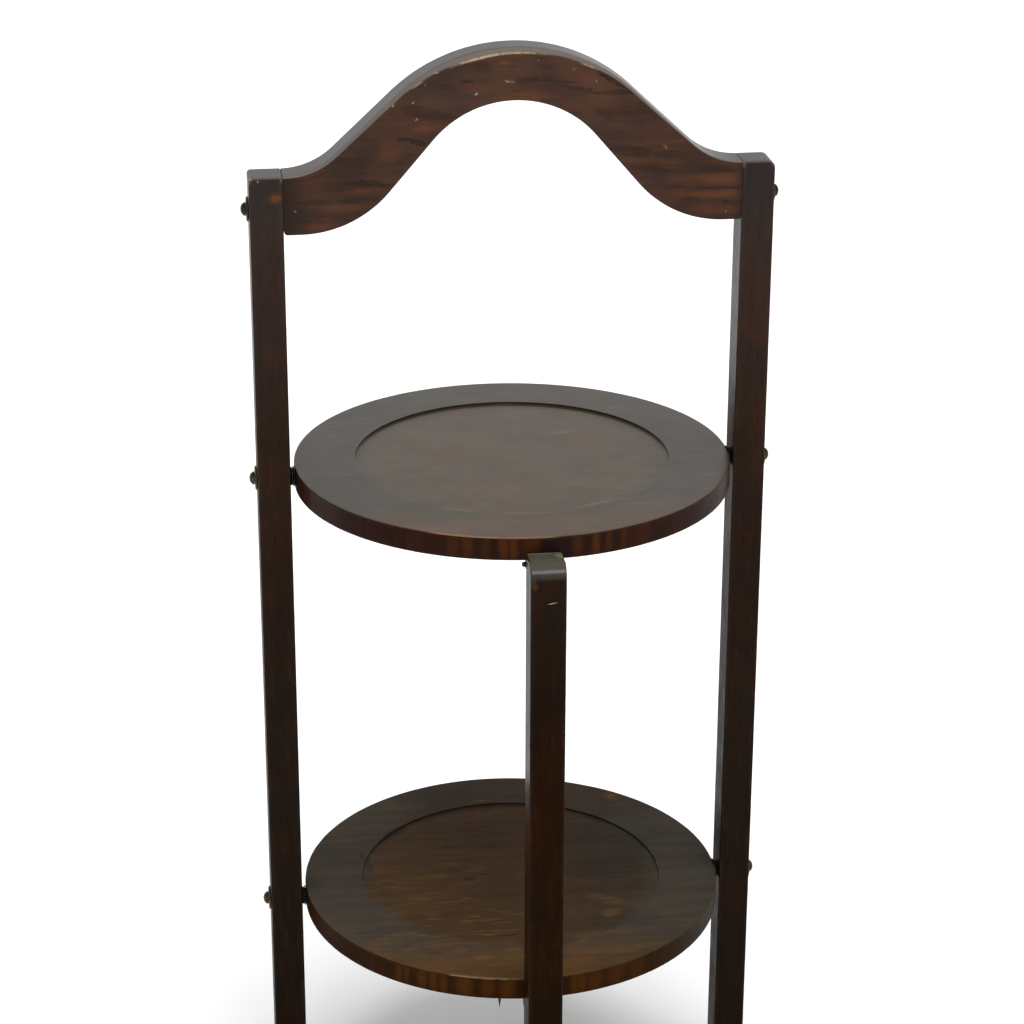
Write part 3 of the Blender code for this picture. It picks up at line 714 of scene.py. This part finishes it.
def post_stain_sheen_and_shade(paint, cloud):
    """Browner up the posts and darker towards the floor, partly stain and partly painted shade, then greyer
    at the handle, and grey on top as a painted sheen.
    """
    stops = [
        (0.04, (0.0092, 0.0055, 0.003)), (0.22, (0.0145, 0.009, 0.0057)), (0.33, (0.0165, 0.0093, 0.006)),
        (0.37, (0.018, 0.0106, 0.0075)), (0.44, (0.028, 0.0165, 0.0105)), (0.51, (0.031, 0.020, 0.0168)),
        (0.545, (0.0285, 0.0225, 0.0205)), (0.575, (0.0315, 0.025, 0.0225)),
    ]
    stain = by_height(paint, cloud, stops, (1.22, 0.98, 0.85))
    # Painted sheen: the faces that look up turn grey.
    return paint.blend(paint.between(paint.rise, 0.45, 0.75), stain, (0.040, 0.033, 0.027))


def leg_stain_and_shade(paint, cloud):
    """Redder above the lower plate than at its ends, and darker towards the floor, partly stain and partly
    painted shade.
    """
    stops = [
        (0.03, (0.0078, 0.0042, 0.0012)), (0.20, (0.0125, 0.005, 0.0012)), (0.27, (0.0155, 0.0055, 0.0015)),
        (0.33, (0.010, 0.0058, 0.003)), (0.387, (0.014, 0.0085, 0.0052)), (0.41, (0.017, 0.012, 0.009)),
    ]
    return by_height(paint, cloud, stops, (1.25, 0.95, 0.75))


def post_marks(paint, colour):
    """An orange patch high on the left upright, nicks above it and gilt specks on the right one's top."""
    low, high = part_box("left_upright")
    front, top = (0, low.y, high.z), (0, (low.y + high.y) / 2, high.z)
    place = paint.ragged((0.003, 0.001, 0.003))
    patch = [(-132, -11.5, 6, 5, 0, 0.6)]
    core = [(-131.5, -11.5, 3.5, 2.6, 10, 0.55)]
    nicks = [(-145, -1, 1.4, 0.9, 0, 0.8), (-141.5, -2, 0.8, 0.8, 0, 0.7)]
    specks = [(140, -2, 1, 1.6, 0, 0.6), (143, -6.5, 0.8, 1.4, 0, 0.6)]
    colour = paint.drawn(colour, (0.075, 0.033, 0.014), patch, place, front)
    colour = paint.drawn(colour, (0.170, 0.055, 0.016), core, place, front)
    colour = paint.drawn(colour, PALE, nicks, place, front, core=0.8)
    near_top = paint.between(paint.axis("Z"), high.z - 0.005, high.z - 0.001)
    rubbed = paint.product(near_top, paint.between(paint.ahead, 0.1, 0.4), paint.attribute("wear"), 0.7)
    colour = paint.blend(rubbed, colour, (0.170, 0.140, 0.120))
    return paint.drawn(colour, GOLD, specks, place, top, level=True)


def leg_marks(paint, colour):
    """Painted light on the leg's top, a chipped back edge there, a brown patch below it and a scratch."""
    low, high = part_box("front_leg")
    front = (0, low.y, high.z)
    place = paint.ragged((0.002, 0.002, 0.002))
    # Painted light: the leg's top, where it looks up, is lit grey-olive.
    top = paint.between(paint.rise, 0.50, 0.66)
    colour = paint.blend(paint.product(top, 0.95), colour, (0.066, 0.059, 0.046))
    chipped = [(-2, 18.5, 12.5, 2.6, 0, 1.0), (8, 13, 3.5, 4.5, 20, 1.0)]
    chips = paint.product(paint.strokes(chipped, place, front, level=True), top)
    colour = paint.blend(chips, colour, (0.128, 0.110, 0.074))
    brown = [(-8, -10.5, 5, 1.8, -79, 0.8)]
    scratch = [(2, -22, 3.5, 0.45, 9, 0.9)]
    colour = paint.drawn(colour, (0.050, 0.026, 0.014), brown, place, front)
    return paint.drawn(colour, PALE, scratch, paint.place, front, core=0.8)


# Colours and marks of the plates

plate_low, plate_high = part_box("upper_plate")
PLATE_RADIUS = (plate_high.x - plate_low.x) / 2
PLATE_MIDDLE = (plate_low.y + plate_high.y) / 2

FLAME_SETBACK = 0.015  # of the flames' middles from the rim's front, as they follow it round
FLAME_LIFT = 0.001
FLAME_CORE = 0.75  # share of a stroke's width that shows as a flame's
FLAME_HEIGHT = 12  # mm, as are the tables
FLAME_DEPTH = 60

# Lighter flames on the front of each rim: how far right of its middle, half the width, share
UPPER_FLAMES = [
    (-48, 4, 0.45), (-40.5, 3.6, 0.55), (-31, 3, 0.35), (-21.5, 3.4, 0.85), (-16, 2.8, 0.95), (-6, 6, 0.6),
    (18, 4.4, 0.5), (29, 2.8, 0.85), (36, 2.4, 0.45), (45, 2.6, 0.4), (56, 6, 0.25),
]
LOWER_FLAMES = [
    (-78.5, 2.4, 0.75), (-74.5, 1.6, 0.65), (-66, 3, 0.7), (-60, 2.6, 0.75), (-54.5, 2.6, 0.7),
    (-43, 5.6, 0.75), (-30, 5, 0.65), (-19, 6, 0.9), (19.5, 3, 0.9), (24, 3, 0.75), (32, 6, 0.5),
    (45, 7, 0.45), (58, 6, 0.3),
]

# Strokes on the plates, from a plate's axis at the height of its top
UPPER_PALE = [
    (36.5, -76.5, 18, 2, 21, 0.6), (-4, -85.5, 19, 2, -3, 0.5), (-41.5, -75.5, 14, 2.5, -20, 0.4),
    (-69, -55.5, 8, 2.1, -29, 0.35), (-51.5, 45.5, 3.5, 2.3, -8, 0.5), (35, 37, 12, 2.9, 15, 0.45),
    (-4.5, -49.5, 3, 2.1, -8, 0.45), (-44.5, -11.5, 1.9, 2.2, -8, 0.45), (72, -11, 2.9, 2.2, 39, 0.4),
    (28.5, -45, 7, 2.6, 10, 0.3), (50.5, -39, 4.5, 3, -21, 0.3), (-20.5, 12, 3.5, 2.2, 12, 0.35),
]
UPPER_DARK = [(6.5, 1, 11.5, 20, 0, 0.65)]  # on the rim, from the middle of its front
UPPER_EDGE = [
    (84.5, -86.5, 19, 2.9, 44, 1.0), (-40, -117.5, 30, 4.5, -20, 1.0), (-8, -124.5, 20, 3.5, -4, 0.8),
]
LOWER_DARK = [
    (-26, -2.5, 5, 2.6, 2, 0.6), (-11.5, -72, 10, 2, 1, 0.7), (-77, -27.5, 5, 1.6, 21, 0.6),
    (-56.5, -89.5, 8, 3, -3, 0.4), (-85.5, 23.5, 2.4, 18, 12, 0.4), (-65, 60.5, 14, 5, 42, 0.6),
    (40.5, -67.5, 5, 2.4, 10, 0.5), (55.5, 0.5, 33, 19, 0, 0.4), (-32.5, 38.5, 8, 2.7, -19, 0.4),
    (-3.5, 91.5, 9, 2.3, -8, 0.8),
]
LOWER_GOLD = [
    (-47, 4, 11, 2.1, -4, 0.9), (-58, -23.5, 10, 2.1, -8, 0.9), (-30, -26.5, 9, 1.7, -2, 0.7),
    (-27.5, -8.5, 8, 2.1, -2, 0.6), (-58, -55.5, 7, 2, -8, 0.8), (-71.5, -52.5, 3.5, 1.6, -8, 0.5),
    (-18.5, -70, 19, 1.6, -3, 0.5), (-75, 12.5, 11, 2.6, -8, 0.4), (-71, -8, 13, 2.5, -15, 0.5),
    (-83, -70, 7, 4, -1, 0.5), (-33, -53.5, 6, 5, -29, 0.5), (54, -38.5, 21, 8, -35, 0.4),
    (53, -54, 10, 7, 33, 0.6), (30, -85.5, 7, 2, 12, 0.6), (42, -79, 32, 4.5, -1, 0.3),
    (-71, -83.5, 8, 2.3, -8, 0.5), (-40.5, -86.5, 8, 1.9, -8, 0.8), (-12.5, -91, 8, 2.3, -3, 0.8),
    (-29.5, -97.5, 11, 4, 4, 0.9), (-21, -106, 10, 2.3, 1, 0.8), (-5, 94, 8, 2.4, -8, 0.9),
    (77.5, 89, 8, 7, -65, 0.5), (23, -110, 5, 1.5, -8, 0.7), (43, -100, 25, 6, -4, 0.3),
]
LOWER_RED = [(-57.5, 77.5, 8, 2.8, 16, 0.8)]
LOWER_EDGE = [(-35.5, -118.5, 29, 2.5, -13, 0.65)]


def plate_stain_and_shade(paint, cloud, floor, border, front, rim, below):
    """A plate's stain: its sunk centre, its border, the border's front, its rim and its underside, with
    painted shade on the recess wall.
    """
    from_axis = paint.vector("MULTIPLY_ADD", paint.place, (1, 1, 0), (0, -PLATE_MIDDLE, 0))
    from_axis = paint.vector("LENGTH", from_axis, (0, 0, 0), output="Value")
    near = paint.between(paint.axis("Y"), -0.045, -0.110)
    top = paint.blend(near, border, front)
    uneven = paint.maths("MULTIPLY_ADD", cloud, 0.020, -0.010)
    sunk = paint.between(paint.maths("ADD", from_axis, uneven), RECESS_RADIUS + 0.003, RECESS_RADIUS - 0.012)
    top = paint.blend(sunk, top, floor)
    red = paint.vector("MULTIPLY", top, (1.12, 1.0, 0.88))
    mottled = paint.blend(paint.between(cloud, 0.4, 0.65), top, red)
    # Painted shade: the recess wall is the sunk centre's colour darkened.
    wall = paint.blend(paint.between(paint.rise, -0.1, -0.5), paint.vector("SCALE", floor, 0.55), below)
    side = paint.blend(paint.between(from_axis, PLATE_RADIUS - 0.005, PLATE_RADIUS - 0.0015), wall, rim)
    return paint.blend(paint.between(paint.rise, 0.60, 0.85), side, mottled)


def upper_stain(paint, cloud):
    """Warmer in the sunk centre and at the front than on the border."""
    return plate_stain_and_shade(
        paint,
        cloud,
        floor=(0.050, 0.031, 0.013),
        border=(0.027, 0.0215, 0.014),
        front=(0.056, 0.031, 0.0125),
        rim=(0.0205, 0.0072, 0.004),
        below=(0.016, 0.008, 0.0045),
    )


def lower_stain_and_painted_light(paint, cloud):
    """Greyer and darker towards the right and the back, lighter at the front, which partly paints the upper
    plate's shadow on the back, and a rim greyer at the far right as a painted reflection.
    """
    across, along_y = paint.axis("X"), paint.axis("Y")
    right = paint.between(across, 0.010, 0.075)
    floor = paint.blend(right, (0.064, 0.032, 0.0105), (0.036, 0.0255, 0.015))
    far = paint.between(along_y, -0.040, -0.010)
    shift = paint.product(far, paint.between(across, -0.065, -0.005, 0.18, -0.12))
    border = paint.blend(right, (0.060, 0.047, 0.034), (0.044, 0.037, 0.029))
    # Partly painted shadow: the border darker at the back and the front lighter, where the upper plate shades
    # the back.
    back = paint.product(paint.between(along_y, 0.055, 0.100), paint.between(across, -0.070, -0.030))
    # Painted reflection: the rim greyer at the far right.
    far_right = paint.between(across, 0.070, 0.115)
    return plate_stain_and_shade(
        paint,
        cloud,
        floor=paint.vector("SCALE", floor, paint.maths("ADD", shift, 1.0)),
        border=paint.blend(back, border, (0.036, 0.0245, 0.0165)),
        front=paint.blend(right, (0.088, 0.044, 0.012), (0.050, 0.032, 0.015)),
        rim=paint.blend(far_right, (0.022, 0.0078, 0.002), (0.034, 0.0275, 0.022)),
        below=(0.016, 0.008, 0.0035),
    )


def level_only(paint):
    return paint.between(paint.rise, 0.3, 0.7)


def level_in_front(paint):
    """1 on the level front left of a plate, falling to the right and back."""
    right = paint.between(paint.axis("X"), 0.040, 0.0)
    back = paint.between(paint.axis("Y"), 0.060, -0.010)
    spread = paint.larger(paint.product(right, back), 0.25)
    return paint.product(level_only(paint), spread, paint.between(paint.axis("X"), -0.110, -0.080))


def rim_figure(paint, colour, node, flames, orange):
    """Flames of orange-brown wood on the front of a plate's rim, over fainter ones all round it."""
    low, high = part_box(node)
    middle = (0, low.y + FLAME_SETBACK, (low.z + high.z) / 2 + FLAME_LIFT)
    side = paint.between(paint.maths("ABSOLUTE", paint.rise), 0.7, 0.3)
    place = paint.ragged((0.003, 0.0, 0.004), 320.0)
    faint = paint.between(paint.noise((190, 190, 45), (5, 3, 7), 2.0), 0.5, 0.72, 0.0, 0.2)
    rows = [(across, 0, width / FLAME_CORE, FLAME_HEIGHT, 0, share) for across, width, share in flames]
    strong = paint.strokes(rows, place, middle, depth=FLAME_DEPTH, core=0.8)
    return paint.blend(paint.product(paint.larger(faint, strong), side), colour, orange)


def plate_face(node):
    """The point on a plate's axis that the marks of its top are measured from."""
    return (0, PLATE_MIDDLE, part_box(node)[1].z - RECESS_DEPTH / 2)


def worn_front(paint, colour, rows, place, face, least_rise, bare):
    """The light line along a plate's front edge, where it looks up by more than least_rise."""
    edge = paint.product(paint.strokes(rows, place, face, level=True), paint.attribute("wear"))
    edge = paint.product(edge, paint.between(paint.rise, least_rise, least_rise + 0.3))
    return paint.blend(edge, colour, bare)


def upper_marks(paint, colour):
    """The upper plate's rim, the pale strokes on its top, and its worn front edge."""
    low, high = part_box("upper_plate")
    face = plate_face("upper_plate")
    place = paint.ragged((0.004, 0.004, 0.0))
    colour = rim_figure(paint, colour, "upper_plate", UPPER_FLAMES, (0.070, 0.020, 0.0042))
    rim_front = (0, low.y, (low.z + high.z) / 2)
    patch = paint.strokes(UPPER_DARK, place, rim_front, depth=30)
    patch = paint.product(patch, paint.between(paint.rise, 0.7, 0.3))
    colour = paint.blend(patch, colour, (0.014, 0.0068, 0.007))
    colour = paint.drawn(colour, (0.115, 0.070, 0.035), UPPER_PALE, place, face, level=True)
    return worn_front(paint, colour, UPPER_EDGE, place, face, 0.50, (0.24, 0.115, 0.045))


def lower_marks(paint, colour):
    """The lower plate's rim, its golden and dark streaks, and the light line along its front edge."""
    face = plate_face("lower_plate")
    place = paint.ragged((0.006, 0.004, 0.0))
    colour = rim_figure(paint, colour, "lower_plate", LOWER_FLAMES, (0.066, 0.022, 0.0028))
    colour = paint.drawn(colour, (0.022, 0.015, 0.011), LOWER_DARK, place, face, level=True)
    broken = paint.between(paint.noise(along("X", GOLD_GRAIN), (1, 6, 4), 2.0, 0.6), 0.36, 0.60, 0.2, 1.0)
    gilt = paint.product(paint.strokes(LOWER_GOLD, place, face, level=True, core=0.9), broken)
    colour = paint.blend(gilt, colour, (0.165, 0.080, 0.020))
    colour = paint.drawn(colour, (0.105, 0.032, 0.022), LOWER_RED, place, face, level=True)
    return worn_front(paint, colour, LOWER_EDGE, place, face, 0.45, (0.30, 0.20, 0.12))


# Finishes

# How strong the coat is, over how far a face looks up
POST_TOP = [(0.0, 0.0), (0.45, 0.0), (0.75, 0.45), (1.0, 0.45)]
LEG_TOP = [(0.08, 0.0), (0.30, 0.85), (0.60, 0.95), (0.74, 0.40), (1.0, 0.40)]
RAIL_TOP = [(0.0, 0.0), (0.40, 0.0), (0.70, 0.40), (1.0, 0.40)]
UPPER_TOP = [(0.0, 0.0), (0.55, 0.0), (0.80, 0.58), (1.0, 0.58)]
LOWER_TOP = [(0.0, 0.0), (0.55, 0.0), (0.80, 0.115), (1.0, 0.115)]
NO_SIDES = (0.0, 0.0, 1.0)  # for no coat on side faces

post_oak = oak(
    "post_oak_finish", 1.0, "Z", post_stain_sheen_and_shade, post_marks,
    contrast=(0.90, 1.10),
    fleck=((0.060, 0.030, 0.016), 0.12, None),
    worn=((0.080, 0.045, 0.026), 0.25),
    rough=(0.36, 0.52),
    ior=1.09,
    polish=(POST_TOP, 0.08, (0.30, 0.42, 0.50), 0.28),
)
leg_oak = oak(
    "leg_oak_finish", 4.0, "Z", leg_stain_and_shade, leg_marks,
    contrast=(0.88, 1.12),
    fleck=((0.050, 0.020, 0.008), 0.1, None),
    worn=((0.070, 0.036, 0.018), 0.25),
    rough=(0.36, 0.52),
    ior=1.08,
    polish=(LEG_TOP, 0.06, (0.14, -1.0, 0.0), 0.15),
)
rail_oak = oak(
    "rail_oak_finish", 7.0, "X", rail_stain, rail_marks,
    contrast=(0.86, 1.14),
    fleck=((0.115, 0.055, 0.028), 0.15, None),
    worn=((0.110, 0.055, 0.026), 0.3),
    rough=(0.34, 0.50),
    ior=1.13,
    polish=(RAIL_TOP, 0.06, NO_SIDES, 0.28),
)
upper_oak = oak(
    "upper_plate_oak_finish", 12.0, "X", upper_stain, upper_marks,
    contrast=(0.90, 1.10),
    fleck=((0.110, 0.068, 0.034), 0.28, level_only),
    worn=((0.085, 0.045, 0.022), 0.15),
    rough=(0.32, 0.44),
    ior=1.10,
    polish=(UPPER_TOP, 0.06, NO_SIDES, 0.30),
)
lower_oak = oak(
    "lower_plate_oak_finish", 17.0, "X", lower_stain_and_painted_light, lower_marks,
    contrast=(0.84, 1.14),
    fleck=((0.135, 0.078, 0.018), 0.48, level_in_front),
    worn=((0.085, 0.045, 0.022), 0.15),
    rough=(0.50, 0.62),
    ior=1.08,
    polish=(LOWER_TOP, 0.04, NO_SIDES, 0.32),
)
brass = metal(
    "aged_brass_finish",
    dark=(0.020, 0.015, 0.012),
    light=(0.070, 0.050, 0.030),
    glint=(0.36, 0.25, 0.12),
    rough=(0.34, 0.58),
)
iron = metal(
    "dark_iron_finish",
    dark=(0.022, 0.019, 0.017),
    light=(0.060, 0.052, 0.045),
    glint=(0.14, 0.12, 0.10),
    rough=(0.45, 0.65),
)


# Pieces

pieces = [
    (post("left_upright", 1, LEFT_ROUNDS), "left_upright", "frame", "post_oak", post_oak),
    (post("right_upright", 11, RIGHT_ROUNDS), "right_upright", "frame", "post_oak", post_oak),
    (handle_rail(), "handle_rail", "frame", "rail_oak", rail_oak),
    (post("front_leg", 21, LEG_ROUNDS), "front_leg", "front_leg", "post_oak", leg_oak),
    (plate("upper_plate", 3.0), "upper_plate", "upper_plate", "upper_plate_oak", upper_oak),
    (plate("lower_plate", 8.0), "lower_plate", "lower_plate", "lower_plate_oak", lower_oak),
]
for obj, node, body, slot_name, finish in pieces:
    obj.data.materials.append(finish)
    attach(obj, body)
    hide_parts(node)


def soft_shading(degrees):
    """A node group that shades a mesh smooth, but keeps the edges sharper than an angle."""
    tree = bpy.data.node_groups.new("soft_shading", "GeometryNodeTree")
    tree.interface.new_socket("Geometry", in_out="INPUT", socket_type="NodeSocketGeometry")
    tree.interface.new_socket("Geometry", in_out="OUTPUT", socket_type="NodeSocketGeometry")
    graph = Graph(tree)
    start, end = graph.add("NodeGroupInput"), graph.add("NodeGroupOutput")
    faces = graph.add("GeometryNodeSetShadeSmooth")
    edges = graph.add("GeometryNodeSetShadeSmooth", domain="EDGE")
    angle = graph.add("GeometryNodeInputMeshEdgeAngle")
    flat = graph.add("FunctionNodeCompare", operation="LESS_THAN")
    flat.inputs[1].default_value = math.radians(degrees)
    graph.feed(faces.inputs["Geometry"], start.outputs[0])
    graph.feed(edges.inputs["Geometry"], faces.outputs[0])
    graph.feed(flat.inputs[0], angle.outputs["Unsigned Angle"])
    graph.feed(edges.inputs["Shade Smooth"], flat.outputs[0])
    graph.feed(end.inputs[0], edges.outputs[0])
    return tree


def dress_hardware():
    """Metal for the CAD nodes, and eased edges for those that show."""
    shading = soft_shading(METAL_SHARP_ANGLE)
    slots = {row["node"]: row["material_slot"] for row in frame["record"]["subparts"]}
    for name, obj in frame["nodes"].items():
        obj.data.materials.clear()
        obj.data.materials.append(brass if slots[name] == "aged_brass" else iron)
        if obj.hide_render:
            continue
        weld = obj.modifiers.new("weld", "WELD")
        weld.merge_threshold = METAL_WELD
        ease = obj.modifiers.new("ease", "BEVEL")
        ease.width = METAL_EASE
        ease.segments = 2
        ease.limit_method = "ANGLE"
        ease.angle_limit = math.radians(METAL_EASE_ANGLE)
        obj.modifiers.new("shading", "NODES").node_group = shading


# Floor, light and camera


def build_floor():
    bm = bmesh.new()
    bmesh.ops.create_circle(bm, cap_ends=True, segments=96, radius=FLOOR_RADIUS)
    mesh = bpy.data.meshes.new("studio_floor")
    bm.to_mesh(mesh)
    bm.free()
    floor = bpy.data.objects.new("studio_floor", mesh)
    bpy.context.scene.collection.objects.link(floor)
    made = bpy.data.materials.new("studio_floor_finish")
    made.use_nodes = True
    shader = made.node_tree.nodes["Principled BSDF"]
    shader.inputs["Base Color"].default_value = (FLOOR_TONE, FLOOR_TONE, FLOOR_TONE, 1)
    shader.inputs["Roughness"].default_value = 0.9
    shader.inputs["Specular IOR Level"].default_value = 0.0
    shader.inputs["Emission Color"].default_value = (1, 1, 1, 1)
    shader.inputs["Emission Strength"].default_value = FLOOR_GLOW
    mesh.materials.append(made)
    floor.location.z = -FLOOR_DROP


def build_world():
    """White to the camera. Reflections see a bright low backdrop, a dimmer studio above it and a softbox."""
    world = bpy.data.worlds.new("studio")
    bpy.context.scene.world = world
    world.use_nodes = True
    graph = Graph(world.node_tree)
    direction = graph.add("ShaderNodeTexCoord").outputs["Generated"]
    backdrop = graph.ramp(graph.split(direction)["Z"], [(at, (level,) * 3) for at, level in BACKDROP])
    height = math.radians(SOFTBOX_HEIGHT)
    towards = (0, -math.cos(height), math.sin(height))
    aim = graph.vector("DOT_PRODUCT", direction, towards, output="Value")
    near, far = (math.cos(math.radians(degrees)) for degrees in SOFTBOX_SPREAD)
    softbox = graph.between(aim, far, near, 0.0, SOFTBOX_LEVEL)
    ray = graph.add("ShaderNodeLightPath").outputs
    lit = graph.vector("ADD", backdrop, softbox)
    reflected = graph.blend(ray["Is Glossy Ray"], (AMBIENT, AMBIENT, AMBIENT), lit)
    seen = graph.larger(ray["Is Camera Ray"], ray["Is Transmission Ray"])
    graph.feed(graph.nodes["Background"].inputs["Color"], graph.blend(seen, reflected, (1.0, 1.0, 1.0)))


def build_lamp():
    lamp = bpy.data.lights.new("overhead", "SUN")
    lamp.energy = LAMP_LEVEL
    lamp.angle = math.radians(LAMP_SPREAD)
    obj = bpy.data.objects.new("overhead", lamp)
    obj.rotation_euler = [math.radians(turn) for turn in LAMP_TILT]
    obj.visible_glossy = False  # reflections see the softbox instead
    bpy.context.scene.collection.objects.link(obj)


def build_camera():
    """The photograph's view, placed from the upper plate's top."""
    turn, tilt, roll = (math.radians(degrees) for degrees in (CAMERA_TURN, CAMERA_TILT, CAMERA_ROLL))
    back = Vector((math.sin(turn) * math.cos(tilt), -math.cos(turn) * math.cos(tilt), math.sin(tilt)))
    right = Vector((math.cos(turn), math.sin(turn), 0))
    up = right.cross(-back)
    across = math.cos(roll) * right + math.sin(roll) * up
    upward = math.cos(roll) * up - math.sin(roll) * right
    target = Vector((CAMERA_AIM[0], PLATE_MIDDLE, plate_high.z + CAMERA_AIM[1]))
    camera = bpy.data.cameras.new("camera")
    camera.lens = CAMERA_LENS
    camera.sensor_width = CAMERA_SENSOR
    obj = bpy.data.objects.new("camera", camera)
    place = Matrix((across, upward, back)).transposed().to_4x4()
    place.translation = target + CAMERA_DISTANCE * back
    obj.matrix_world = place
    bpy.context.scene.collection.objects.link(obj)
    bpy.context.scene.camera = obj


dress_hardware()
build_floor()
build_world()
build_lamp()
build_camera()
bpy.context.scene.view_settings.view_transform = "Standard"
